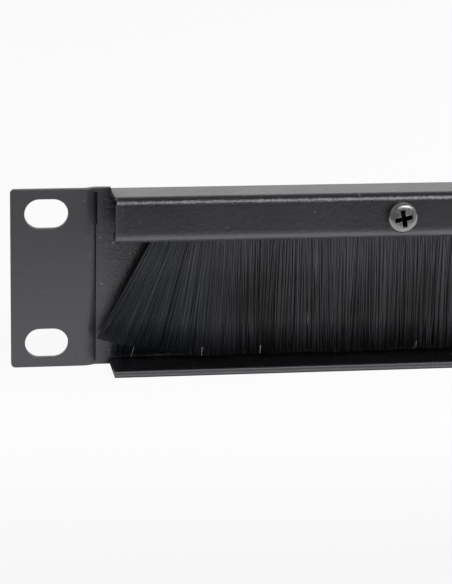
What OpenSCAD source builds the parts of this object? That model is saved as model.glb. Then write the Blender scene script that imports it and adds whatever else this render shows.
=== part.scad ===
// Rack brush strip panel, one rack unit high.
//
// One folded steel sheet closes the unit. Its lower edge is folded to a shelf and its upper edge
// to a channel, open below, and a strip of nylon bristles hangs out of that channel in front of a
// long cable opening. The bristles are looped over a wire, the loop sits in the keyhole groove of
// a holder, and three screws through the channel's wall hold the holder.
//
// X runs along the panel, Z is up, and -Y is the side where the brush and its screws are.
// The origin is the centre of the four rack slots, in the face of the ears that meets the rack.

/* [Sheet] */
// Thickness of the steel sheet
sheet_t = 1.5; // [1:0.1:2]
// Inside radius of the folds
fold_r = 0.6; // [0.4:0.1:1.2]

/* [Panel] */
// Width over both ears
panel_w = 482; // [470:1:500]
// Height of the panel
panel_h = 43.66; // [42:0.02:50]
// Depth from the flat face to the front edges of the folds
panel_d = 12.5; // [11.5:0.5:18]
// Width of an ear, from its end to the foot of its step
ear_w = 20.1; // [19:0.1:21]
// Radius of the ear's corners
ear_corner_r = 1; // [0.5:0.1:3]
// Depth of the step from the ear to the flat face
step_d = 1; // [0.6:0.1:1.4]
// Radius of the step's round side
step_round_r = 5.5; // [4:0.5:8]
// Radius of the crease at the step's foot
step_crease_r = 0.3; // [0.2:0.1:0.6]
// Distance from the panel's end to the end of its folds
fold_end = 23.7; // [23:0.1:26]

/* [Channel] */
// Height of the channel's wall, over its folds
channel_h = 11; // [10:0.5:14]
// Depth of the channel's lip, from the outside of the wall
lip_d = 5.8; // [4.5:0.1:6]

/* [Rack slots] */
// Distance from the panel's end to the middle of a slot
slot_edge = 8.45; // [8:0.05:9]
// Distance between the upper and the lower slot
slot_pitch = 31.75; // [30:0.05:33]
// Length of a slot, end to end
slot_l = 10.3; // [9:0.1:12]
// Height of a slot
slot_h = 7.1; // [6:0.1:8]

/* [Cable opening] */
// Distance from the panel's end to the opening
opening_end = 36; // [34:1:60]
// Height of the rim left below the opening
opening_sill = 6; // [4:0.5:9]
// Height of the rim left above the opening
opening_head = 12.5; // [11:0.5:16]
// Radius of the opening's corners
opening_corner_r = 2; // [1:0.5:4]

/* [Brush] */
// Distance from the panel's end to the end of the brush
brush_end = 34.5; // [33:0.5:50]
// Clearance of the holder in the channel
holder_gap = 0.1; // [0.05:0.05:0.3]
// Bevel on the holder's long edges
holder_bevel = 0.6; // [0.2:0.1:1]
// Wall of the holder behind the loop
holder_back = 0.6; // [0.4:0.1:0.8]
// Width of the loop of bristles in its groove
loop_d = 3.4; // [3:0.1:3.6]
// Width of the groove's mouth
mouth_w = 2.6; // [2:0.1:2.8]
// Diameter of the wire in the loop
wire_d = 1.2; // [0.8:0.1:1.6]
// Clearance between bristles, wire and groove
brush_gap = 0.04; // [0.02:0.01:0.1]
// Clearance between the bristles' tips and the shelf
tip_gap = 1.3; // [0.6:0.1:6]
// Distance between neighbouring locks of bristles
lock_pitch = 2; // [1.5:0.1:4]
// Width of a lock at its tip
lock_tip = 0.9; // [0.4:0.1:1.2]
// Sideways sway of a lock, as a share of the room beside its tip
lock_sway = 0.4; // [0:0.05:0.45]
// Unevenness of the locks' lengths, as a share of their length
lock_uneven = 0.03; // [0:0.01:0.1]
// Rows of locks from front to back
lock_rows = 3; // [2:1:4]
// Lean of the outer rows away from the middle one
row_lean = 1.3; // [0:0.1:1.4]
// Lean of the outermost bristles at each end
splay_a = 28; // [0:1:30]
// Length of brush over which that lean dies away
splay_run = 20; // [10:1:40]

/* [Screws] */
// Number of screws along the channel
screw_n = 3; // [2:1:5]
// Distance between neighbouring screws
screw_pitch = 149.5; // [80:0.5:170]
// Height of the screws, as a share of the channel's wall
screw_rise = 0.5; // [0.45:0.01:0.55]
// Diameter of the screw's shank
screw_d = 3.5; // [3:0.5:4]
// Length of the screw under its head
screw_l = 6; // [5:0.1:6.1]
// Diameter of the screw's head
head_d = 7; // [6:0.1:8]
// Height of the screw's head
head_h = 2.6; // [2:0.1:3]
// Height of the head's side below its dome
head_side = 1.2; // [0.8:0.1:1.6]
// Length of the cross recess
recess_l = 4; // [3:0.1:4.4]
// Width of a slot of the recess
recess_w = 0.9; // [0.6:0.1:1.2]
// Depth of the recess
recess_d = 1.7; // [1:0.1:1.9]
// Turn of the first screw's recess
recess_turn = 12; // [0:1:90]
// Clearance of the shank in the sheet's holes
screw_gap = 0.2; // [0.1:0.05:0.4]
// Clearance of the shank in the holder's holes
thread_gap = 0.02; // [0.01:0.01:0.05]

/* [Hidden] */
$fn = 96;
// Reach of a cutter past the faces that it cuts
over = 1;
// Overlap of two shapes that are joined
bond = 0.2;
fold_outer = fold_r + sheet_t;
top = panel_h / 2;
bottom = -top;
half_w = panel_w / 2;
// The flat face: front and back of the sheet behind the brush
face_front = step_d;
face_back = step_d + sheet_t;
front = face_back - panel_d;
fold_half = half_w - fold_end;
// Angle of the step between its round side and its crease
step_a = acos(1 - step_d / (step_round_r + step_crease_r));
step_l = (step_round_r + step_crease_r) * sin(step_a);
web = half_w - ear_w;
ear_flat = web + step_l;
// Steps that an arc of points is drawn in
arc_steps = 8;
// The channel and the space in it
channel_bottom = top - channel_h;
cave_front = front + sheet_t;
cave_bottom = channel_bottom + sheet_t;
cave_top = top - sheet_t;
lip_back = front + lip_d;
// The holder and its groove
brush_half = half_w - brush_end;
holder_front = cave_front + holder_gap;
holder_back_y = face_front - holder_gap;
holder_bottom = cave_bottom + holder_gap / 2;
holder_top = cave_top - holder_gap;
groove_y = holder_back_y - holder_back - loop_d / 2;
groove_z = holder_top - holder_back - loop_d / 2;
// The bristles
root_w = mouth_w - 2 * brush_gap;
row_t = root_w / lock_rows;
bristle_z = holder_bottom;
bristle_l = bristle_z - bottom - sheet_t - tip_gap;
lock_n = floor(2 * brush_half / lock_pitch);
// The screws
screw_z = channel_bottom + channel_h * screw_rise;
dome_drop = head_h - head_side;
dome_r = (pow(head_d / 2, 2) + pow(dome_drop, 2)) / (2 * dome_drop);

SCREWS = [for (i = [1:screw_n]) str("screw_", i)];

// Extrudes a section drawn as Y and Z along X, half to each side.
module along_x(half) {
    rotate([90, 0, 90])
        translate([0, 0, -half])
            linear_extrude(2 * half)
                children();
}

// A box in two dimensions, given by its low and high corners.
module area(low, high) {
    translate(low)
        square([high[0] - low[0], high[1] - low[1]]);
}

// Part of a ring around the origin, from one angle to the next, under 90 degrees apart or equal.
module ring_part(inner, outer, from, to) {
    reach = 2 * outer;
    intersection() {
        difference() {
            circle(outer);
            circle(inner);
        }
        polygon([[0, 0], reach * [cos(from), sin(from)], reach * [cos(to), sin(to)]]);
    }
}

// A quarter of a fold of the sheet; the angle is where it starts.
module fold(centre, from) {
    translate(centre)
        ring_part(fold_r, fold_outer, from, from + 90);
}

// The section of the sheet's flat face, between its folds.
module face_section() {
    area([face_front, bottom + fold_outer], [face_back, top - fold_outer]);
}

// The section of all that is folded forward: shelf, channel top, channel wall and lip.
module folded_section() {
    area([front, bottom], [face_back - fold_outer, bottom + sheet_t]);
    fold([face_back - fold_outer, bottom + fold_outer], 270);
    fold([face_back - fold_outer, top - fold_outer], 0);
    area([front + fold_outer, top - sheet_t], [face_back - fold_outer, top]);
    fold([front + fold_outer, top - fold_outer], 90);
    area([front, channel_bottom + fold_outer], [cave_front, top - fold_outer]);
    fold([front + fold_outer, channel_bottom + fold_outer], 180);
    area([front + fold_outer, channel_bottom], [lip_back, cave_bottom]);
}

// Points along an arc, without its first one, so that arcs can follow each other.
function arc_points(centre, r, from, to) =
    [for (i = [1:arc_steps]) let (a = from + (to - from) * i / arc_steps) centre + r * [cos(a), sin(a)]];

// The right ear seen from above: flat ear, round side of the step, crease and the web to the folds.
module ear_plan() {
    round_centre = [ear_flat, step_round_r];
    crease_centre = [web, face_front - step_crease_r];
    polygon(concat(
        [[half_w, 0], [ear_flat, 0]],
        arc_points(round_centre, step_round_r, 270, 270 - step_a),
        arc_points(crease_centre, step_crease_r, 90 - step_a, 90),
        [[fold_half, face_front], [fold_half, face_back], [web, face_back]],
        arc_points(crease_centre, step_crease_r + sheet_t, 90, 90 - step_a),
        arc_points(round_centre, step_round_r - sheet_t, 270 - step_a, 270),
        [[half_w, sheet_t]]
    ));
}

// The ear's outline from the front, with its outer corners rounded.
module ear_outline() {
    r = ear_corner_r;
    area([fold_half - over, bottom], [half_w - r, top]);
    area([half_w - r, bottom + r], [half_w, top - r]);
    for (z = [bottom + r, top - r])
        translate([half_w - r, z])
            circle(r);
}

module ear() {
    intersection() {
        translate([0, 0, bottom])
            linear_extrude(panel_h)
                ear_plan();
        rotate([90, 0, 0])
            translate([0, 0, -face_back - over])
                linear_extrude(face_back + 2 * over)
                    ear_outline();
    }
}

// A cutter along Y through the whole sheet, for outlines drawn as X and Z.
module through_sheet() {
    rotate([90, 0, 0])
        translate([0, 0, -face_back - over])
            linear_extrude(face_back + 2 * over)
                children();
}

module slot_outline() {
    run = (slot_l - slot_h) / 2;
    area([-run, -slot_h / 2], [run, slot_h / 2]);
    for (side = [-1, 1])
        translate([side * run, 0])
            circle(d = slot_h);
}

module opening_outline() {
    r = opening_corner_r;
    x = half_w - opening_end;
    low = bottom + opening_sill;
    high = top - opening_head;
    area([-x + r, low], [x - r, high]);
    area([-x, low + r], [x, high - r]);
    for (side = [-1, 1], z = [low + r, high - r])
        translate([side * (x - r), z])
            circle(r);
}

// Puts a child at one screw, counted from the left, with its axis pointing out of the wall.
module at_screw(i) {
    translate([(i - (screw_n - 1) / 2) * screw_pitch, front, screw_z])
        rotate([90, 0, 0])
            children();
}

module panel() {
    color("dimgray")
        difference() {
            union() {
                along_x(fold_half)
                    folded_section();
                along_x(fold_half + bond)
                    face_section();
                ear();
                mirror([1, 0, 0])
                    ear();
            }
            through_sheet()
                opening_outline();
            through_sheet()
                for (side = [-1, 1], up = [-1, 1])
                    translate([side * (half_w - slot_edge), up * slot_pitch / 2])
                        slot_outline();
            for (i = [0:screw_n - 1])
                at_screw(i)
                    translate([0, 0, -sheet_t - over])
                        cylinder(d = screw_d + 2 * screw_gap, h = sheet_t + 2 * over);
        }
}

// The holder's section: a bar with bevelled edges and a keyhole groove that is open below.
module holder_section() {
    b = holder_bevel;
    difference() {
        polygon([
            [holder_front + b, holder_bottom], [holder_back_y - b, holder_bottom],
            [holder_back_y, holder_bottom + b], [holder_back_y, holder_top - b],
            [holder_back_y - b, holder_top], [holder_front + b, holder_top],
            [holder_front, holder_top - b], [holder_front, holder_bottom + b]
        ]);
        translate([groove_y, groove_z])
            circle(d = loop_d);
        area([groove_y - mouth_w / 2, holder_bottom - over], [groove_y + mouth_w / 2, groove_z]);
    }
}

module brush_holder() {
    color("silver")
        difference() {
            along_x(brush_half)
                holder_section();
            for (i = [0:screw_n - 1])
                at_screw(i)
                    translate([0, 0, -screw_l - screw_gap])
                        cylinder(d = screw_d + 2 * thread_gap, h = screw_l);
        }
}

module core_wire() {
    color("lightgray")
        rotate([0, 90, 0])
            translate([-groove_z, groove_y, 0])
                cylinder(d = wire_d, h = 2 * brush_half, center = true);
}

// A repeatable number from -1 to 1 for each whole number.
function scatter(i) = let (s = sin(i * 127.1 + 31.7) * 437.58) 2 * (s - floor(s)) - 1;

// Lean of the bristles rooted at x, outward at both ends of the brush.
function lean(x) =
    let (d = brush_half - abs(x))
    d < splay_run ? sign(x) * splay_a * pow(1 - d / splay_run, 1.3) : 0;

// A point on the bristle rooted at x, at a share of its length.
function along_bristle(x, share) =
    [x + share * bristle_l * sin(lean(x)), bristle_z - share * bristle_l * cos(lean(x))];

// One row of locks: a band at the root that splits into tapered locks of uneven length. Every
// other row has one lock less, so that its locks hang behind the gaps of its neighbours.
module lock_row(row) {
    n = lock_n - row % 2;
    edge = lock_n * lock_pitch / 2;
    tips = [
        for (i = [0:n - 1])
            let (
                x = (i - (n - 1) / 2) * lock_pitch,
                sway = lock_sway * (lock_pitch - lock_tip) * scatter(i + 977 * row),
                share = 1 - lock_uneven * (1 + scatter(3 * i + 131 * row)) / 2,
                split = 0.45 + 0.15 * scatter(7 * i + 53 * row),
                end = along_bristle(x, share) + [sway, 0],
                notch = along_bristle(x + lock_pitch / 2, split)
            )
            each [
                end - [lock_tip / 2, 0],
                end + [lock_tip / 2, 0],
                if (i < n - 1) notch
            ]
    ];
    polygon(concat([[edge, bristle_z + bond], [-edge, bristle_z + bond], [-edge, bristle_z]],
        tips, [[edge, bristle_z]]));
}

module bristles() {
    color("#101010") {
        along_x(brush_half)
            difference() {
                union() {
                    translate([groove_y, groove_z])
                        circle(d = loop_d - 2 * brush_gap);
                    area([groove_y - root_w / 2, bristle_z], [groove_y + root_w / 2, groove_z]);
                }
                translate([groove_y, groove_z])
                    circle(d = wire_d + 2 * brush_gap);
            }
        for (row = [0:lock_rows - 1])
            translate([0, groove_y - root_w / 2 + (row + 0.5) * row_t, bristle_z])
                rotate([row_lean * (row - (lock_rows - 1) / 2), 0, 0])
                    translate([0, row_t / 2, -bristle_z])
                        rotate([90, 0, 0])
                            linear_extrude(row_t)
                                lock_row(row);
    }
}

module screw() {
    difference() {
        union() {
            intersection() {
                cylinder(d = head_d, h = head_h);
                translate([0, 0, head_h - dome_r])
                    sphere(dome_r);
            }
            translate([0, 0, -screw_l])
                cylinder(d = screw_d, h = screw_l + bond);
        }
        translate([0, 0, head_h - recess_d]) {
            for (turn = [0, 90])
                rotate(turn)
                    translate([-recess_l / 2, -recess_w / 2, 0])
                        cube([recess_l, recess_w, recess_d + over]);
            cylinder(d1 = recess_w, d2 = 2 * recess_w, h = recess_d + over);
        }
    }
}

module screw_in_place(i) {
    color("gainsboro")
        at_screw(i)
            rotate(recess_turn * (1 + 2 * i))
                screw();
}

panel();
brush_holder();
core_wire();
bristles();
for (i = [0:screw_n - 1])
    screw_in_place(i);
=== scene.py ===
# %% [markdown]
# # Rack brush strip panel
#
# A rack panel with a brush strip closes one unit of a server rack and still lets cables through.
# It is one folded steel sheet, coated in black powder. A strip of nylon bristles hangs in front of
# its long opening, and three small screws hold the strip in the channel along the top.
#
# The measured shape is already there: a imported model, loaded as a frame that stays where it is.
# This lesson dresses it. The sheet gets rounded edges and a powder coat, the solid locks of
# bristles give way to thousands of single filaments, and the screws get their real heads.

import math

import bmesh
import bpy
import numpy as np
from mathutils import Matrix, Vector


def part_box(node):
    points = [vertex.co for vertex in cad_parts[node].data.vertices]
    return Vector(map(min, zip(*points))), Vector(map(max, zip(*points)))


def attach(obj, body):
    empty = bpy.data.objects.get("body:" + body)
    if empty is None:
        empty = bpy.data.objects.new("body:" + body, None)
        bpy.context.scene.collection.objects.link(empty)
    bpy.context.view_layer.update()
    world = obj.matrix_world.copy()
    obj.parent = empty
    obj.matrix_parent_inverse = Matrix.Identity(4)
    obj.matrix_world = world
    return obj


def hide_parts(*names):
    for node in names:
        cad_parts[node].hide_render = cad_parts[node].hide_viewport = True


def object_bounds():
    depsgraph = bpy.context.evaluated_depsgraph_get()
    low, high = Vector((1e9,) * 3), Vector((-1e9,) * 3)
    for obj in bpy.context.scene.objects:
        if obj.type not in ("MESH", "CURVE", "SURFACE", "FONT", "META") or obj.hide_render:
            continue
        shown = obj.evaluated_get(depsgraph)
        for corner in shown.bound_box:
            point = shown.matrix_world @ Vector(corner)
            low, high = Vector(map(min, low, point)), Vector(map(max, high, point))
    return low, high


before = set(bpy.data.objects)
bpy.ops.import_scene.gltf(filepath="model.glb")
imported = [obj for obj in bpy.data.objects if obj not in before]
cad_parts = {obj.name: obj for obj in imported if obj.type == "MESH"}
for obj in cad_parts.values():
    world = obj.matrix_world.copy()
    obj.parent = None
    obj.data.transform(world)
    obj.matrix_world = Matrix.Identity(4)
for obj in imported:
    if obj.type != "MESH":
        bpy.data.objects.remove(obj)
cad_box = [list(corner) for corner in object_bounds()]
MM = 0.001
print("loaded", sorted(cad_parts))
print("box in mm", [[round(v / MM, 2) for v in corner] for corner in cad_box])

# %% [markdown]
# ## The camera
#
# A long lens flattens perspective, as product pictures do. The camera stands a little above the
# panel and a little to its left, and looks at the left end. Its place follows from the point that
# it looks at, a distance and three angles, which are easier to adjust than six loose numbers.

# %% Place the camera
AIM = Vector((-189.5, 0, -4.21)) * MM
DISTANCE = 540.2 * MM
AZIMUTH = math.radians(-9.18)
ELEVATION = math.radians(16.44)
ROLL = math.radians(1.215)


def add_object(name, data):
    """A new object in the scene."""
    made = bpy.data.objects.new(name, data)
    bpy.context.scene.collection.objects.link(made)
    return made


back = Vector((
    math.sin(AZIMUTH) * math.cos(ELEVATION),
    -math.cos(AZIMUTH) * math.cos(ELEVATION),
    math.sin(ELEVATION),
))
roll = Matrix.Rotation(ROLL, 3, "Z").to_quaternion()
camera = add_object("camera", bpy.data.cameras.new("camera"))
camera.data.lens = 138.75
camera.data.sensor_width = 36
camera.data.clip_start = 0.01
camera.rotation_mode = "QUATERNION"
camera.rotation_quaternion = back.to_track_quat("Z", "Y") @ roll
camera.location = AIM + back * DISTANCE
bpy.context.scene.camera = camera
bpy.context.scene.view_settings.view_transform = "Standard"
print("camera at", [round(v / MM, 1) for v in camera.location], "mm")

# %% [markdown]
# ## Shader maths in Python
#
# A material is a graph of nodes, and a long graph is hard to read. So one small class wraps a
# socket. Plus, minus, times and comparison on it add the Math node that does the same, and `node`
# adds any other kind: its settings first, then the values or links of its sockets.


# %% The class that writes shaders
class Wire:
    """A value that runs through a shader, written like a number."""

    def __init__(self, tree, socket=None):
        self.tree = tree
        self.socket = socket

    def node(self, kind, settings=None, inputs=None, out=0):
        made = self.tree.nodes.new("ShaderNode" + kind)
        for name, value in (settings or {}).items():
            if name == "stops":
                first, last = made.color_ramp.elements
                first.position, last.position = value[0][0], value[-1][0]
                first.color, last.color = value[0][1], value[-1][1]
                for position, color in value[1:-1]:
                    made.color_ramp.elements.new(position).color = color
            else:
                setattr(made, name, value)
        for name, value in (inputs or {}).items():
            if isinstance(value, Wire):
                self.tree.links.new(value.socket, made.inputs[name])
            else:
                made.inputs[name].default_value = value
        return Wire(self.tree, made.outputs[out])

    def math(self, operation, *values):
        return self.node("Math", {"operation": operation}, dict(enumerate(values)))

    def __add__(self, other):
        return self.math("ADD", self, other)

    __radd__ = __add__

    def __mul__(self, other):
        return self.math("MULTIPLY", self, other)

    __rmul__ = __mul__

    def __sub__(self, other):
        return self.math("SUBTRACT", self, other)

    def __rsub__(self, other):
        return self.math("SUBTRACT", other, self)

    def __gt__(self, other):
        return self.math("GREATER_THAN", self, other)

    def __lt__(self, other):
        return self.math("LESS_THAN", self, other)

    def __pow__(self, other):
        return self.math("POWER", self, other)

    def __abs__(self):
        return self.math("ABSOLUTE", self)


print("shader maths ready")

# %% [markdown]
# ## Patterns to mix
#
# Every finish below is built from the same few moves: take the place in the object, read one
# coordinate of it, lay a noise over it, bend a value along a line of stops, and mix two colours.
# Each move gets a helper, so that a finish reads as a short list of what is on the surface.


# %% Helpers for places and patterns
def axis(place, name):
    """One coordinate of a place."""
    return place.node("SeparateXYZ", None, {0: place}, out=name)


def stretched(place, x, y, z):
    """The place, squeezed by a factor along each axis, so that a pattern gets long or short."""
    return place.node("Mapping", None, {"Vector": place, "Scale": (x, y, z)})


def grain(place, per_metre, detail=2.0, roughness=0.5):
    """Smooth noise around 0.5, with so many bumps to a metre."""
    inputs = {"Vector": place, "Scale": per_metre, "Detail": detail, "Roughness": roughness}
    return place.node("TexNoise", None, inputs)


def ramp(value, *stops):
    """A value turned into another along a line of stops."""
    grey_stops = [(at, (v, v, v, 1)) for at, v in stops]
    return value.node("ValToRGB", {"stops": grey_stops}, {"Fac": value})


def zone(value, start, length, *stops):
    """A ramp along a stretch of a coordinate, with its stops as shares of the stretch."""
    return ramp((value - start) * (1 / length), *stops)


def as_color(color):
    """A colour as a socket takes it, with alpha added to three plain numbers."""
    return (*color, 1) if isinstance(color, tuple) else color


def between(mask, low, high):
    """A colour from low to high, as the mask goes from 0 to 1."""
    inputs = {0: mask, 6: as_color(low), 7: as_color(high)}
    return mask.node("Mix", {"data_type": "RGBA"}, inputs, out=2)


print("patterns ready")


# %% Helpers that start and end a material
def start_graph(owner):
    """The empty graph of a material or a world."""
    owner.use_nodes = True
    owner.node_tree.nodes.clear()
    return Wire(owner.node_tree)


def start_material(name):
    """A new material, and the place in the object that every pattern is measured from."""
    material = bpy.data.materials.new(name)
    return material, start_graph(material).node("TexCoord", out="Object")


def end_graph(shader, kind="OutputMaterial"):
    """Links a finished shader to the graph's output."""
    output = shader.tree.nodes.new("ShaderNode" + kind)
    shader.tree.links.new(shader.socket, output.inputs["Surface"])


def bumpy(height, depth, normal=None):
    """The surface's normal, tilted by a height of 0 to 1 that is so many metres deep."""
    inputs = {"Height": height, "Distance": depth, "Strength": 1.0}
    if normal is not None:
        inputs["Normal"] = normal
    return height.node("Bump", None, inputs)


def finish_material(material, color, roughness, normal, **constants):
    """Ends a graph in one Principled shader. What varies is linked, and the rest is set."""
    inputs = {"Base Color": color, "Roughness": roughness, "Normal": normal, **constants}
    end_graph(color.node("BsdfPrincipled", None, inputs))
    print("material", material.name, "with", len(material.node_tree.nodes), "nodes")


print("materials can start")

# %% [markdown]
# ## Powder coat
#
# Powder coat is sprayed on dry and baked, so it melts into a skin with a fine orange peel. Black
# satin powder isn't black: it keeps a few parts in a hundred of the light, and it shines at a low
# angle. The ears get a painted sheen, a lighter colour for the light they catch, and are a little
# rougher from handling. The bend under the channel gets a painted highlight, and dust settles in
# small pale specks. Grains of bump make the peel, and a sparse noise makes the dust.
#
# The shelf's cut front edge gets two painted highlights, pale lines with a darker one between
# them, and the burr at the bottom stays dull.

# %% The coat's grain, dust and the ears' painted sheen
coat, place = start_material("black_powder_coat")
FACE_END = 215.5 * MM
EAR_START = 220.0 * MM
peel = grain(place, 900, 1.5)
fine = grain(place, 2100)
haze = ramp(grain(place, 60, 3.0), (0.35, 0.0), (0.7, 1.0))
specks = grain(place, 1500, 0.0) > 0.845
pits = ramp(grain(place, 420, 1.0), (0.70, 0.0), (0.78, 1.0))
# Painted sheen: the ears' colour is lighter, for the light they catch; the same mask makes them a
# little rougher.
ear_sheen_and_handling = ramp(abs(axis(place, "X")), (FACE_END, 0.0), (EAR_START, 1.0))
print("dust is where its noise passes 0.845, haze starts", FACE_END / MM, "mm from the middle")

# %% Where the lower bend gets a painted highlight
BEND_TOP = 14 * MM
BEND_FRONT = -6 * MM
in_front = axis(place, "Y")
height = axis(place, "Z")
# Painted highlight: the channel's lower bend is painted lighter, for the floor's light that it
# reflects.
painted_lighter = zone(height, BEND_TOP, -5 * MM, (0.06, 0.0), (0.56, 1.0), (0.70, 1.0), (0.72, 0.0))
painted_lighter = painted_lighter * (in_front < BEND_FRONT)
print("the channel's lower bend is rubbed below Z", BEND_TOP / MM, "mm")

# %% Painted highlights on the shelf's front edge
SHELF_FRONT = -9.2 * MM
SHELF_TOP = -20 * MM
LINES_FROM = -22 * MM
LINES_SPAN = 2 * MM
LOWER_LINE = ((0.26, 0.0), (0.36, 0.5), (0.44, 0.5), (0.54, 0.0))
UPPER_LINE = ((0.70, 0.0), (0.76, 0.5), (0.85, 0.5))
on_edge = (in_front < SHELF_FRONT) * (height < SHELF_TOP)
# Painted highlights: two pale lines along the shelf's front edge, where its rims catch the light.
lines = zone(height, LINES_FROM, LINES_SPAN, *LOWER_LINE, *UPPER_LINE) * on_edge
burr = zone(height, LINES_FROM, LINES_SPAN, (0.20, 1.0), (0.30, 0.0)) * on_edge
print("the edge's lines lie within", LINES_SPAN / MM, "mm above Z", LINES_FROM / MM, "mm")

# %% The powder coat
coat_color = between(haze * 0.6 + fine * 0.4, (0.0020, 0.0020, 0.0026), (0.0050, 0.0048, 0.0062))
# Painted sheen on the ears.
coat_color = between(ear_sheen_and_handling * 0.36, coat_color, (0.045, 0.044, 0.050))
# Painted highlight on the channel's lower bend.
coat_color = between(painted_lighter * 0.8, coat_color, (0.078, 0.078, 0.086))
# Painted highlights on the shelf's front edge.
coat_color = between(lines * 0.42, coat_color, (0.20, 0.20, 0.21))
coat_color = between(specks * 0.5, coat_color, (0.20, 0.20, 0.20))
coat_roughness = 0.285 + haze * 0.05 + fine * 0.06 + specks * 0.2 + ear_sheen_and_handling * 0.09 + burr * 0.45
coat_normal = bumpy(fine, 0.06 * MM, bumpy(peel, 0.075 * MM, bumpy(pits, 0.04 * MM)))
coat_shine = {"IOR": 2.0, "Specular Tint": (0.95, 0.94, 1.0, 1)}
finish_material(coat, coat_color, coat_roughness, coat_normal, **coat_shine)

# %% [markdown]
# ## The folded sheet
#
# The real panel is laser cut and folded from one sheet, then coated, and the coat rounds every cut
# edge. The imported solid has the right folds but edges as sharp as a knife, and a sharp edge catches
# no light. So its mesh is copied, its triangles are joined back into flat faces, and a small
# bevel runs round each real edge. Fold radii are smooth already, so an angle limit skips them, and
# so does the rim of a screw hole, which a head covers.


# %% Helpers for pieces
def dress(piece, material, slot, *nodes):
    """Gives a piece its material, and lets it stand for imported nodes."""
    piece.data.materials.clear()
    piece.data.materials.append(material)
    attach(piece, "root")
    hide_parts(*nodes)


def apply_modifiers(piece):
    """Replaces the piece's mesh by what its modifiers make of it."""
    evaluated = piece.evaluated_get(bpy.context.evaluated_depsgraph_get())
    mesh = bpy.data.meshes.new_from_object(evaluated)
    piece.modifiers.clear()
    piece.data = mesh


def screw_seat(index):
    """The place of a screw's axis in X and Z, and of its head's top in Y."""
    low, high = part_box(f"screw_{index}")
    return Vector(((low.x + high.x) / 2, low.y, (low.z + high.z) / 2))


SCREW_SEATS = [screw_seat(index) for index in (1, 2, 3)]
print("screws at X", [round(seat.x / MM, 1) for seat in SCREW_SEATS], "mm")

# %% Choose the edges to round
FOLD_END_SPAN = 0.05 * MM
FOLD_REAR = 18 * MM
SCREW_RIM = 3 * MM
EDGE_ANGLE = math.radians(30)


def is_screw_rim(edge):
    """Whether this edge belongs to a screw hole."""
    middle = (edge.verts[0].co + edge.verts[1].co) / 2
    return any(math.hypot(middle.x - seat.x, middle.z - seat.z) < SCREW_RIM for seat in SCREW_SEATS)


def is_real_edge(edge, fold_end):
    """Whether a bevel runs here: a sharp edge, and no sliver where a rear fold ends in the ear."""
    if len(edge.link_faces) != 2 or edge.calc_face_angle() < EDGE_ANGLE or is_screw_rim(edge):
        return False
    ends_fold = all(abs(abs(v.co.x) - fold_end) < FOLD_END_SPAN for v in edge.verts)
    return not (ends_fold and all(v.co.y > 0 and abs(v.co.z) > FOLD_REAR for v in edge.verts))


print("edges above", round(math.degrees(EDGE_ANGLE)), "degrees get rounded")

# %% [markdown]
# ## The crease beside each ear, and the shelf's front edge
#
# Each ear steps back to the face with a tight crease, which shows as a thin dark line. The line is
# wide beside the channel and narrow below it. The shelf's front edge is a sheared edge, which is
# slightly hollow. A bump in the material would show neither from the side, so both are cut into
# the mesh: planes slice the faces there, and the new points are pushed back by their depth.

# %% Cut the crease groove
GROOVE_X = 220.95 * MM
GROOVE_CUTS = (-0.5 * MM, -0.22 * MM, 0.0, 0.22 * MM, 0.5 * MM)
GROOVE_NECK = 14.4 * MM
GROOVE_HEIGHTS = (-20.9 * MM, -20.5 * MM, GROOVE_NECK - 1.5 * MM, GROOVE_NECK, 20.5 * MM, 20.9 * MM)
FACE_Y = 1.0 * MM


def cut_across(solid, near, place, normal):
    """Cuts the faces near a plane where it crosses them."""
    edges = {edge for face in near for edge in face.edges}
    points = {point for face in near for point in face.verts}
    parts = near + list(edges) + list(points)
    bmesh.ops.bisect_plane(solid, geom=parts, dist=1e-7, plane_co=place, plane_no=normal)


def cut_groove(solid, side):
    """Slices the faces round the crease of one ear, across it and along it."""
    for offset in GROOVE_CUTS:
        x = side * GROOVE_X + offset
        near = [
            f for f in solid.faces
            if f.normal.y < -0.5 and f.calc_center_median().y < FACE_Y + 1.2 * MM
            and min(v.co.x for v in f.verts) < x < max(v.co.x for v in f.verts)
        ]
        cut_across(solid, near, (x, 0, 0), (1, 0, 0))
    for height in GROOVE_HEIGHTS:
        near = [
            f for f in solid.faces
            if f.normal.y < -0.5
            and abs(f.calc_center_median().x - side * GROOVE_X) < 0.51 * MM
        ]
        cut_across(solid, near, (0, 0, height), (0, 0, 1))


print("the groove runs", round(GROOVE_X / MM, 2), "mm from the middle")

# %% Choose how deep the groove is
GROOVE_TOP = 20.6 * MM
WIDE_DEPTHS = (1.3 * MM, 1.1 * MM)
NARROW_DEPTHS = (0.65 * MM, 0.0)


def groove_depth(point):
    """How far a point of the sheet lies in the groove: 0 outside it."""
    offset = abs(abs(point.x) - GROOVE_X)
    on_face = FACE_Y - 0.6 * MM <= point.y <= FACE_Y + 0.3 * MM
    if offset > 0.3 * MM or not on_face or abs(point.z) > GROOVE_TOP:
        return 0.0
    depths = WIDE_DEPTHS if point.z > GROOVE_NECK - 0.1 * MM else NARROW_DEPTHS
    return depths[0] if offset < 0.1 * MM else depths[1]


print("the groove is", WIDE_DEPTHS[0] / MM, "mm deep beside the channel")

# %% Hollow the shelf's front edge
LIP_HOLLOW = -20.76 * MM
LIP_BULGE = -21.28 * MM
LIP_DEPTH = 0.14 * MM


def hollow_lip(solid):
    """Slices the shelf's front edge along its length and pushes the upper slice in."""
    for height in (LIP_HOLLOW, LIP_BULGE):
        lip = []
        for face in solid.faces:
            middle = face.calc_center_median()
            if face.normal.y < -0.9 and middle.y < -9 * MM and middle.z < -19 * MM:
                lip.append(face)
        cut_across(solid, lip, (0, 0, height), (0, 0, 1))
    hollow = [
        v for v in solid.verts
        if abs(v.co.z - LIP_HOLLOW) < 0.01 * MM and v.co.y < -9.5 * MM
    ]
    for v in hollow:
        v.co.y += LIP_DEPTH
    return len(hollow)


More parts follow.
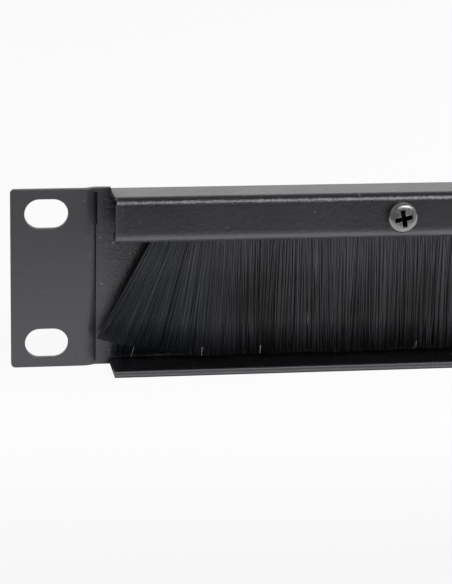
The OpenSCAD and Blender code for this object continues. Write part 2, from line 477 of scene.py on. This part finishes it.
print("the hollow is", LIP_DEPTH / MM, "mm deep")

# %% Carve the sheet
CREASE_SPAN = 0.55 * MM
CREASE_ANGLE = math.radians(12)


def is_crease(edge):
    """Whether this edge lies in a groove and folds enough to shade as a sharp one."""
    in_groove = all(
        abs(abs(v.co.x) - GROOVE_X) < CREASE_SPAN and abs(v.co.z) < 21 * MM for v in edge.verts
    )
    return in_groove and edge.calc_face_angle(0) > CREASE_ANGLE


def carve(solid):
    """Cuts both grooves and the hollow, and marks the grooves' edges as sharp."""
    for side in (-1, 1):
        cut_groove(solid, side)
    depths = [(v, groove_depth(v.co)) for v in solid.verts]
    for v, depth in depths:
        v.co.y += depth
    hollow = hollow_lip(solid)
    solid.normal_update()
    creases = [edge for edge in solid.edges if is_crease(edge)]
    for edge in creases:
        edge.smooth = False
    moved = sum(depth > 0 for _, depth in depths)
    print("groove points", moved, "sharp edges", len(creases), "hollow points", hollow)


# %% Weigh the edges of the sheet
EDGE_SHARE = 0.6


def bevel_share(edge, fold_end):
    """How wide the bevel is here: full at the outside of the channel's ends, less elsewhere."""
    if not is_real_edge(edge, fold_end):
        return 0.0
    at_end = all(
        abs(abs(v.co.x) - fold_end) < FOLD_END_SPAN and v.co.y < -1 * MM and v.co.z > 9 * MM
        for v in edge.verts
    )
    on_top = max(v.co.z for v in edge.verts) > 21.7 * MM
    in_front = min(v.co.y for v in edge.verts) < -9.3 * MM
    return 1.0 if at_end and (on_top or in_front) else EDGE_SHARE


def sheet_mesh(name):
    """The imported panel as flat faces, with its grooves, and a weight on each edge to round."""
    solid = bmesh.new()
    solid.from_mesh(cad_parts["panel"].data)
    bmesh.ops.remove_doubles(solid, verts=solid.verts, dist=0.0005 * MM)
    bmesh.ops.dissolve_limit(
        solid, verts=solid.verts, edges=solid.edges, angle_limit=math.radians(0.3)
    )
    weight = solid.edges.layers.float.new("bevel_weight_edge")
    fold_end = max(abs(v.co.x) for v in solid.verts if v.co.y < -1 * MM)
    for edge in solid.edges:
        edge[weight] = bevel_share(edge, fold_end)
    for face in solid.faces:
        face.smooth = True
    carve(solid)
    mesh = bpy.data.meshes.new(name)
    solid.to_mesh(mesh)
    solid.free()
    return mesh


print("most edges get", EDGE_SHARE, "of the full bevel")

# %% Round the edges of the sheet
COAT_EDGE = 0.40 * MM
FLAT_AREA = 300 * MM * MM


def keep_flats_flat(mesh):
    """Gives the large faces their own normal at every corner, so that they mirror like a plane."""
    normals = [corner.vector.copy() for corner in mesh.corner_normals]
    flats = [face for face in mesh.polygons if face.area > FLAT_AREA]
    for face in flats:
        for corner in face.loop_indices:
            normals[corner] = face.normal
    mesh.normals_split_custom_set(normals)
    print(len(flats), "flat faces keep their own normals")


sheet = add_object("folded_sheet", sheet_mesh("folded_sheet"))
bevel = sheet.modifiers.new("rounded edges", "BEVEL")
bevel.width = COAT_EDGE
bevel.segments = 3
bevel.limit_method = "WEIGHT"
bevel.use_clamp_overlap = False
shading = sheet.modifiers.new("flat faces", "WEIGHTED_NORMAL")
shading.weight = 100
shading.keep_sharp = True
apply_modifiers(sheet)
keep_flats_flat(sheet.data)
dress(sheet, coat, "powder_coat", "panel")
print("the sheet has", len(sheet.data.polygons), "faces")

# %% [markdown]
# ## Bristles
#
# A strip brush is made of filaments laid across a wire and folded over it, so each filament is a
# hairpin with two hanging legs. The fold sits in the keyhole groove of the holder, and the mouth
# of the groove lets the legs out. At each end the legs have no neighbours to lean on, so
# they fan out. Further in they stand close, gather in small clumps, cross here and there, and end
# at slightly different heights. The rear legs stand more evenly and close the gaps in front.
#
# Hair particles would be quick, but they make no mesh that can be stored. So every hairpin is a
# path of fifteen points, worked out for all of them at once with NumPy, and a thin three-sided
# tube with smooth shading is laid along it.

# %% Where the brush sits
holder_low, holder_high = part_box("brush_holder")
wire_low, wire_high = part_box("core_wire")
brush_low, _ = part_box("bristles")
BRUSH_HALF = holder_high.x
ROOT_Z = holder_low.z
WIRE_Y = (wire_low.y + wire_high.y) / 2
WIRE_Z = (wire_low.z + wire_high.z) / 2
LEG = ROOT_Z - brush_low.z
print("free length", round(LEG / MM, 2), "mm, roots at Z", round(ROOT_Z / MM, 2), "mm")

# %% How a filament leans
SPLAY = math.radians(29.4)
SPLAY_RUN = 20 * MM


def wavy(x, per_metre, seed):
    """Smooth unevenness along the brush, from -1 to 1: neighbours get nearly the same value."""
    knots = np.random.default_rng(seed).uniform(-1, 1, int(2 * per_metre) + 8)
    at = (x + 1.0) * per_metre
    low = np.floor(at).astype(int)
    t = at - low
    t = t * t * (3 - 2 * t)
    return knots[low] * (1 - t) + knots[low + 1] * t


def outward_lean(x):
    """How far the filaments rooted at x lean: outward near the ends, else upright."""
    inward = np.clip(1 - (BRUSH_HALF - np.abs(x)) / SPLAY_RUN, 0, 1)
    return np.sign(x) * SPLAY * inward ** 1.5


def leg_leans(x, clumping, draw, seed):
    """The angle of each leg, from its fan, its clump and its own stray turn."""
    n = len(x)
    fan = outward_lean(x)
    clump = clumping * (0.030 * wavy(x, 260, seed + 1) + 0.026 * wavy(x, 640, seed + 2))
    stray = draw.normal(0, 0.014, n)
    stray = stray + np.where(draw.random(n) < 0.035, draw.normal(0, 0.06, n), 0)
    stray = stray * (0.1 + 0.9 * clumping)
    lean = fan * (0.62 + 0.38 * clumping) + (clump + stray) * (1 - 0.5 * np.abs(fan) / SPLAY)
    most = SPLAY + 0.01 * np.clip((BRUSH_HALF - np.abs(x)) / (3 * MM), 0, 1)
    return np.sign(x) * np.minimum(np.sign(x) * lean, most)


print("the end filaments lean by", round(math.degrees(SPLAY), 1), "degrees")

# %% How long a filament is
LOW_TIPS = 0.75 * MM


def leg_lengths(x, clumping, draw, seed):
    """The length of each leg: a little uneven, with a short one here and there."""
    n = len(x)
    uneven = 0.025 * draw.random(n) ** 2 + 0.006 * (1 + wavy(x, 180, seed + 3))
    short = 0.10 * (draw.random(n) < 0.02) * draw.random(n)
    length = LEG * (1 - uneven - short) + LOW_TIPS * (0.5 + 0.5 * wavy(x, 140, seed + 5))
    reach_more = 0.07 * (1 - clumping) - 0.045 * clumping
    return length + reach_more * LEG * (np.abs(outward_lean(x)) / SPLAY) ** 2


def leg_points(x, side, depth, clumping, seed):
    """Points of one leg of every hairpin, from tip to root, in rows of X, Y and Z."""
    draw = np.random.default_rng(seed)
    lean = leg_leans(x, clumping, draw, seed)
    length = leg_lengths(x, clumping, draw, seed)
    bow = draw.normal(0, 0.01 + 0.22 * clumping, len(x)) * MM
    sway = 0.16 * MM * wavy(x, 300, seed + 4)
    points = []
    for share in (1.0, 0.72, 0.45, 0.2, 0.0):
        run = length * share
        x_at = x + run * np.sin(lean) + bow * math.sin(math.pi * share)
        y_at = WIRE_Y + side * depth * (1 + 0.42 * share) + sway * share
        z_at = ROOT_Z - run * np.cos(lean)
        points.append(np.stack([x_at, y_at, z_at], 1))
    return points


print("tips reach up to", LOW_TIPS / MM, "mm lower in places")

# %% Lay the hairpins
FILAMENTS = 8400
END_FILAMENTS = 440
FILAMENT_R = 0.13 * MM
MOUTH = 1.1 * MM
LEG_DRIFT = 0.06 * MM
FOLD_R = 0.72 * MM
FOLD_MORE = 0.82 * MM
random = np.random.default_rng(41)
reach = BRUSH_HALF - FILAMENT_R
step = 2 * reach / FILAMENTS
evenly = -reach + step * (np.arange(FILAMENTS) + random.uniform(0, 1, FILAMENTS))
ends = reach - SPLAY_RUN * random.uniform(0, 1, 2 * END_FILAMENTS)
ends[END_FILAMENTS:] *= -1
roots = np.sort(np.concatenate([evenly, ends]))
depth = MOUTH * random.uniform(0.08, 1, len(roots))
second = np.clip(roots + random.normal(0, 1, len(roots)) * LEG_DRIFT, -reach, reach)
front = leg_points(roots, -1, depth, 1.0, 100)
rear = leg_points(second, 1, depth, 0.1, 200)
fold_r = FOLD_R + depth / MOUTH * FOLD_MORE
fold = []
for turn in (0.0, 0.25, 0.5, 0.75, 1.0):
    x_at = roots * (1 - turn) + second * turn
    y_at = WIRE_Y - fold_r * math.cos(math.pi * turn)
    z_at = WIRE_Z + fold_r * math.sin(math.pi * turn)
    fold.append(np.stack([x_at, y_at, z_at], 1))
paths = np.stack(front + fold + rear[::-1], 1)
print(paths.shape[0], "hairpins of", paths.shape[1], "points")
print("tips down to Z", round(paths[:, :, 2].min() / MM, 2), "mm")


# %% Turn the paths into tubes
def unit(vectors):
    """The same directions, one long."""
    return vectors / np.linalg.norm(vectors, axis=2, keepdims=True)


def tube_rings(paths, radius, sides):
    """Points of a ring round every point of every path, with the two ends a little thinner."""
    ahead = unit(np.gradient(paths, axis=1))
    across = unit(np.cross(ahead, np.array([1.0, 0, 0])))
    third = np.cross(ahead, across)
    turn = (np.arange(sides) / sides * 2 * math.pi)[:, None]
    taper = np.ones(paths.shape[1])
    taper[[0, -1]] = 0.75
    ring = across[:, :, None] * np.cos(turn) + third[:, :, None] * np.sin(turn)
    return (paths[:, :, None] + ring * (radius * taper)[:, None, None]).reshape(-1, 3)


def tubes(paths, radius, sides=3):
    """Vertices and faces of closed thin tubes along many paths with the same number of points."""
    n, p, _ = paths.shape
    corner = np.arange(sides)
    first = (np.arange(n) * p * sides)[:, None]
    at = first[:, :, None] + np.arange(p - 1)[None, :, None] * sides + corner
    nxt = at - corner + (corner + 1) % sides
    quads = np.stack([at, nxt, nxt + sides, at + sides], 3).reshape(-1, 4)
    start = first + corner
    caps = np.concatenate([start[:, ::-1], start + (p - 1) * sides])
    return tube_rings(paths, radius, sides), quads.tolist() + caps.tolist()


print("each filament is", 2 * FILAMENT_R / MM, "mm thick")

# %% [markdown]
# ## Nylon
#
# Black nylon filament is drawn through a die, which leaves it smooth, with a soft long highlight.
# No two look the same: each takes the light from a slightly different side, and a strip in
# daylight shows a breath of blue, green and violet. Geometry's Random Per Island gives each
# filament its own shade, and a noise that is stretched along them adds the tint, with no need for
# a list of colours. Shade is painted into the colour: it darkens towards the tips and in patches
# low down, where little light gets in, and in the fans at the ends, where the filaments lean. A
# few tips above the shelf get a painted glint.

# %% One shade for each filament
nylon, place = start_material("black_nylon")
TIPS_FROM = -20 * MM
CURTAIN_SPAN = 40 * MM
shade = grain(stretched(place, 3.2, 3.2, 0.05), 900, 1.0)
tint = grain(stretched(place, 1.0, 1.0, 0.04), 600)
scuff = grain(stretched(place, 1.0, 1.0, 0.2), 1800, 1.0)
own = place.node("NewGeometry", out="Random Per Island")
rise = (axis(place, "Z") - TIPS_FROM) * (1 / CURTAIN_SPAN)
# Higher up, more filaments take the light colour: painted shade, darker towards the tips, laid over
# each filament's own random tone.
lit = ramp((own + rise * 0.75) * 0.5, (0.12, 0.0), (0.38, 1.0)) * (0.82 + shade * 0.25)
cool = ramp(tint, (0.40, 0.0), (0.60, 1.0))
cool = between(cool, (0.076, 0.081, 0.087), (0.084, 0.080, 0.093))
nylon_color = between(lit, (0.012, 0.012, 0.014), cool)
print("shades run up from Z", TIPS_FROM / MM, "mm")

# %% Painted shade and glints in the curtain
FAN_FROM = 180 * MM
FAN_SPAN = 100 / 3 * MM
BRIGHT_SHARE = 0.018
TIP_SHARE = 0.075
PAINTED_SHADE_STOPS = ((0.02, 0.16), (0.14, 0.42), (0.28, 0.30), (0.50, 0.40), (0.70, 0.82), (0.80, 1.0))
# Painted shade: darker patches low down in the curtain.
painted_shade_patch = ramp(grain(stretched(place, 1.0, 1.0, 0.35), 52, 2.0, 0.6), (0.44, 0.0), (0.62, 1.0))
painted_shade_patch = painted_shade_patch * ramp(rise, (0.30, 0.9), (0.78, 0.0))
# Painted shade: the fans at the ends, where the filaments lean, are painted darker.
painted_fan_shade = zone(abs(axis(place, "X")), FAN_FROM, FAN_SPAN, (0.05, 0.0), (0.75, 1.0))
# Painted glint: a few filaments are painted bright just above their tips.
painted_tip_glint = (own > 1 - BRIGHT_SHARE) * (rise < TIP_SHARE)
# Painted shade in patches.
nylon_color = between(painted_shade_patch, nylon_color, (0.010, 0.010, 0.011))
# Painted shade: the colour darkens towards the tips, where little light gets in.
nylon_color = between(ramp(rise, *PAINTED_SHADE_STOPS), (0.002, 0.002, 0.0025), nylon_color)
# Painted shade on the end fans.
nylon_color = between(painted_fan_shade * 0.55, nylon_color, (0.012, 0.017, 0.021))
# Painted glint on a few tips.
nylon_color = between(painted_tip_glint, nylon_color, (0.34, 0.34, 0.35))
finish_material(nylon, nylon_color, 0.34 + scuff * 0.16, bumpy(scuff, 0.01 * MM), IOR=1.53)

# %% Hang the bristles
RUNS = 5
for run, part in enumerate(np.array_split(paths, RUNS), 1):
    verts, faces = tubes(part, FILAMENT_R)
    mesh = bpy.data.meshes.new(f"bristles_{run}")
    mesh.from_pydata(verts, [], faces)
    mesh.shade_smooth()
    mesh.calc_loop_triangles()
    dress(add_object(f"bristles_{run}", mesh), nylon, "bristle_nylon", "bristles")
    print(f"bristles_{run}:", len(part), "hairpins,", len(mesh.loop_triangles), "triangles")

# %% [markdown]
# ## Screws
#
# Small pan-head screws hold the brush. A pan head is turned: a short upright side, a round
# shoulder and a low dome, with a cross punched into it whose arms narrow towards the bottom. A
# lathe in code does the same: an outline of radius and height, swept round. The cross is cut with
# a boolean, and a fine bevel lets its rim glint. They are plated in dark nickel, and the inside of
# the cross is painted nearly black, as painted shade.

# %% The plating
HEAD_R, HEAD_H, SIDE_H = 3.6 * MM, 2.6 * MM, 1.35 * MM
CROSS_DARK_FROM = 0.42 * MM
CROSS_DARK_R = 2.55 * MM
plating, place = start_material("dark_nickel")
turned = grain(place, 5000)
worn = ramp(grain(place, 900, 3.0), (0.4, 0.0), (0.7, 1.0))
seat_1, seat_2 = SCREW_SEATS[:2]
from_first = axis(place, "X") - seat_1.x
across = from_first.math("PINGPONG", from_first, abs(seat_2.x - seat_1.x) / 2)
upward = axis(place, "Z") - seat_1.z
from_axis = (across * across + upward * upward) ** 0.5
inward = axis(place, "Y") - seat_1.y
# Painted shade: the colour inside the cross is painted nearly black.
painted_cross_shade = (inward > CROSS_DARK_FROM) * (from_axis < CROSS_DARK_R)
plating_color = between(worn, (0.34, 0.335, 0.34), (0.46, 0.45, 0.45))
# Painted shade down in the cross.
plating_color = between(painted_cross_shade, plating_color, (0.012, 0.012, 0.012))
plating_roughness = 0.22 + worn * 0.12 + turned * 0.06
finish_material(plating, plating_color, plating_roughness, bumpy(turned, 0.004 * MM), Metallic=1.0)

# %% The outline of a screw
SHANK_R, SHANK_L = 1.7 * MM, 5.9 * MM
DOME_STEPS = 12
THREAD_TURNS = 11


def head_outline():
    """Radius and height of a pan head's outline, from the seat to the top of the dome."""
    points = [(HEAD_R * 0.985, 0.0), (HEAD_R, 0.12 * MM), (HEAD_R, SIDE_H)]
    for step in range(1, DOME_STEPS):
        turn = math.pi / 2 * step / DOME_STEPS
        rise_by = (HEAD_H - SIDE_H) * math.sin(turn) ** 0.9
        points.append((HEAD_R * math.cos(turn) ** 0.5, SIDE_H + rise_by))
    return points


def shank_outline():
    """Radius and height of the threaded shank, from its point up to the head."""
    points = [(SHANK_R * 0.6, -SHANK_L)]
    for i in range(THREAD_TURNS * 2 + 1):
        radius = SHANK_R * (0.86 if i % 2 == 0 else 1.0)
        up = 0.25 * MM + i * (SHANK_L - 0.35 * MM) / (2 * THREAD_TURNS)
        points.append((radius, -SHANK_L + up))
    return points


print("a screw's outline has", len(shank_outline() + head_outline()), "points")

# %% The lathe
LATHE_STEPS = 64


def lathe(outline, name):
    """A closed mesh from an outline of radius and height, swept round Z."""
    solid = bmesh.new()
    turns = [2 * math.pi * i / LATHE_STEPS for i in range(LATHE_STEPS)]
    rings = []
    for radius, height in outline:
        around = [(radius * math.cos(t), radius * math.sin(t), height) for t in turns]
        rings.append([solid.verts.new(point) for point in around])
    for low, high in zip(rings, rings[1:]):
        for i in range(LATHE_STEPS):
            j = (i + 1) % LATHE_STEPS
            solid.faces.new((low[i], low[j], high[j], high[i]))
    solid.faces.new(rings[0][::-1])
    solid.faces.new(rings[-1])
    mesh = bpy.data.meshes.new(name)
    solid.to_mesh(mesh)
    solid.free()
    return mesh


print("the lathe stops", LATHE_STEPS, "times in a turn")

# %% The punch for the cross
CROSS_L, CROSS_W, CROSS_DEPTH = 2.3 * MM, 0.58 * MM, 1.9 * MM
CORE = 0.72 * MM
PUNCH_ABOVE = 0.6 * MM
ARM_SHARES = ((0.45, 0.55), (1.12, 1.1))
CORE_SHARES = ((0.45, 0.45), (1.12, 1.12))
BOX_FACES = ((3, 2, 1, 0), (4, 5, 6, 7), (0, 1, 5, 4), (1, 2, 6, 5), (2, 3, 7, 6), (3, 0, 4, 7))


def cross_cutter():
    """The punch: two crossed arms and a square core, each a box that narrows downward."""
    mesh = bpy.data.meshes.new("cross_cutter")
    solid = bmesh.new()
    arm, core = (CROSS_L, CROSS_W, ARM_SHARES), (CORE, CORE, CORE_SHARES)
    for (long, wide, shares), degrees in ((arm, 0), (arm, 90), (core, 135)):
        turn = Matrix.Rotation(math.radians(degrees), 3, "Z")
        corners = []
        for height, share in zip((HEAD_H - CROSS_DEPTH, HEAD_H + PUNCH_ABOVE), shares):
            for sx, sy in ((-1, -1), (1, -1), (1, 1), (-1, 1)):
                corner = Vector((sx * long * share[0], sy * wide * share[1], height))
                corners.append(solid.verts.new(turn @ corner))
        for face in BOX_FACES:
            solid.faces.new([corners[i] for i in face])
    bmesh.ops.recalc_face_normals(solid, faces=solid.faces)
    solid.to_mesh(mesh)
    solid.free()
    return add_object("cross_cutter", mesh)


print("the cross goes", CROSS_DEPTH / MM, "mm deep")

# %% Turn the screws
RIM_GLINT = 0.07 * MM
RIM_ANGLE = math.radians(38)
RECESS_TURN = 12


def pan_screw(name, cutter):
    """A finished screw that stands on Z = 0, with its cross punched and its rim broken."""
    mesh = lathe(shank_outline() + head_outline(), name)
    mesh.shade_smooth()
    screw = add_object(name, mesh)
    cut = screw.modifiers.new("cross", "BOOLEAN")
    cut.operation = "DIFFERENCE"
    cut.use_self = True
    cut.object = cutter
    glint = screw.modifiers.new("rim", "BEVEL")
    glint.width = RIM_GLINT
    glint.segments = 2
    glint.limit_method = "ANGLE"
    glint.angle_limit = RIM_ANGLE
    glint.use_clamp_overlap = True
    screw.modifiers.new("flat faces", "WEIGHTED_NORMAL")
    apply_modifiers(screw)
    return screw


cutter = cross_cutter()
for index, top in enumerate(SCREW_SEATS, 1):
    screw = pan_screw(f"pan_screw_{index}", cutter)
    seat = Matrix.Translation(top + Vector((0, HEAD_H, 0)))
    upright = Matrix.Rotation(math.radians(90), 4, "X")
    turn = Matrix.Rotation(math.radians(RECESS_TURN * (2 * index - 1)), 4, "Z")
    screw.data.transform(seat @ upright @ turn)
    dress(screw, plating, "screw_steel", f"screw_{index}")
    print(screw.name, "has", len(screw.data.polygons), "faces")
bpy.data.objects.remove(cutter)

# %% [markdown]
# ## Holder and wire
#
# Both hide in the channel and show only at its open ends. The holder is extruded aluminium, which
# leaves fine lines along it, and it stays bare. The wire is drawn, and stays bright. Their packed
# shapes are true already, so they only get a finish, with a noise that is drawn out along X.

# %% Finish the holder and the wire
bar, place = start_material("extruded_aluminium")
drawn_lines = grain(stretched(place, 0.01, 1.0, 1.0), 6000)
bar_color = between(grain(place, 120), (0.50, 0.50, 0.52), (0.60, 0.60, 0.62))
bar_normal = bumpy(drawn_lines, 0.006 * MM)
finish_material(bar, bar_color, 0.34 + drawn_lines * 0.12, bar_normal, Metallic=1.0)

drawn, place = start_material("drawn_wire")
streaks = grain(stretched(place, 0.02, 1.0, 1.0), 9000, 1.0)
drawn_color = between(streaks, (0.40, 0.40, 0.41), (0.60, 0.60, 0.61))
drawn_normal = bumpy(streaks, 0.004 * MM)
finish_material(drawn, drawn_color, 0.25 + streaks * 0.1, drawn_normal, Metallic=1.0)

for node, material in (("brush_holder", bar), ("core_wire", drawn)):
    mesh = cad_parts[node].data
    mesh.materials.clear()
    mesh.materials.append(material)
    print(node, "is finished in", material.name)

# %% [markdown]
# ## Floor and backdrop
#
# The panel stands on its lower fold, on a pale floor that runs into a white background. The
# camera sees that floor as plain white, and a mirror finish sees part of it. Black powder coat
# shows mostly what it reflects, so the floor's colour is painted darker towards the camera, a
# painted falloff of the lamps' light, and the panel's front stays black. Close to the panel the
# floor glows for mirror rays, a painted pool of light.

# %% The floor
FLOOR_REACH = 12.0
FLOOR_FADE = 0.2
SEEN_WHITE = 0.92
MIRRORED_WHITE = 0.35
bottom = cad_box[0][2]
corners = [(-1, -1), (1, -1), (1, 1), (-1, 1)]
corners = [(x * FLOOR_REACH, y * FLOOR_REACH, bottom) for x, y in corners]
floor_mesh = bpy.data.meshes.new("floor")
floor_mesh.from_pydata(corners, [], [(0, 1, 2, 3)])
floor = add_object("floor", floor_mesh)
paper, spot = start_material("white_paper")
# Painted falloff: the paper's colour darkens towards the camera, standing in for the lamps' light
# falling off.
painted_falloff = zone(axis(spot, "Y"), 0.0, -FLOOR_FADE, (0.24, 0.0), (0.60, 1.0))
paper_color = between(grain(spot, 300, 3.0), (0.90, 0.90, 0.90), (0.94, 0.94, 0.94))
paper_color = between(painted_falloff * 0.90, paper_color, (0.05, 0.05, 0.05))
matt = spot.node("BsdfDiffuse", None, {"Color": paper_color})
glow = spot.node("Emission", None, {"Color": (1, 1, 1, 1), "Strength": 1.0})
seen = spot.node("LightPath", out="Is Camera Ray")
mirrored = spot.node("LightPath", out="Is Glossy Ray")
# Near the panel the floor glows for mirror rays: a painted pool of light.
white_share = seen * SEEN_WHITE + mirrored * (1 - painted_falloff) * MIRRORED_WHITE
end_graph(spot.node("MixShader", None, {0: white_share, 1: matt, 2: glow}))
floor_mesh.materials.append(paper)
print("floor at Z", round(bottom / MM, 2), "mm")

# %% [markdown]
# ## The studio
#
# The surroundings light the panel a little and show in its coat: pale low down, where the paper
# is, and dim above and behind the camera, where the studio is dark. One large soft lamp hangs
# above and in front, a low one fills the bristles, and a narrow one stands close over the right
# half. Only the first shows as a reflection in the coat.

# %% The surroundings
world = bpy.data.worlds.new("studio")
bpy.context.scene.world = world
start = start_graph(world)
direction = start.node("TexCoord", out="Generated")
low_band = ramp(axis(direction, "Z"), (0.0, 1.0), (0.45, 1.0), (0.80, 0.35), (1.0, 0.10))
band = ramp(axis(direction, "Y"), (0.0, 0.16), (0.25, 1.0)) * low_band + 0.07
dim = start.node("Background", None, {"Color": (1, 1, 1, 1), "Strength": 0.28})
shown = start.node("Background", None, {"Color": band, "Strength": 1.0})
white = start.node("Background", None, {"Color": (1, 1, 1, 1), "Strength": 1.0})
glossy = start.node("LightPath", out="Is Glossy Ray")
seen = start.node("LightPath", out="Is Camera Ray")
around = start.node("MixShader", None, {0: glossy, 1: dim, 2: shown})
end_graph(start.node("MixShader", None, {0: seen, 1: around, 2: white}), "OutputWorld")
print("studio world ready")


# %% The lamps
def lamp(name, place, target, size, power, mirrored=True):
    """A soft rectangular lamp that points at a target and is out of the picture itself."""
    data = bpy.data.lights.new(name, "AREA")
    data.shape = "RECTANGLE"
    data.size, data.size_y = size
    data.energy = power
    made = add_object(name, data)
    away = Vector(place) - Vector(target)
    made.location = Vector(place)
    made.rotation_euler = away.to_track_quat("Z", "Y").to_euler()
    made.visible_camera = False
    made.visible_glossy = mirrored
    print(name, "lights at", power, "W")


lamp("front_top_box", (0.30, -0.80, 0.80), (-0.08, 0.0, 0.0), (1.1, 0.42), 6.5)
lamp("low_fill", (0.10, -0.70, 0.06), (0.0, 0.0, 0.0), (1.0, 0.20), 4.2, mirrored=False)
lamp("near_strip", (0.40, -0.10, 0.25), (0.36, -0.08, -0.02), (0.9, 0.10), 5.2, mirrored=False)

# %% [markdown]
# ## Last words
#
# The dressed panel must be as big as the imported one.

# %% Finish
print("scene dressed")
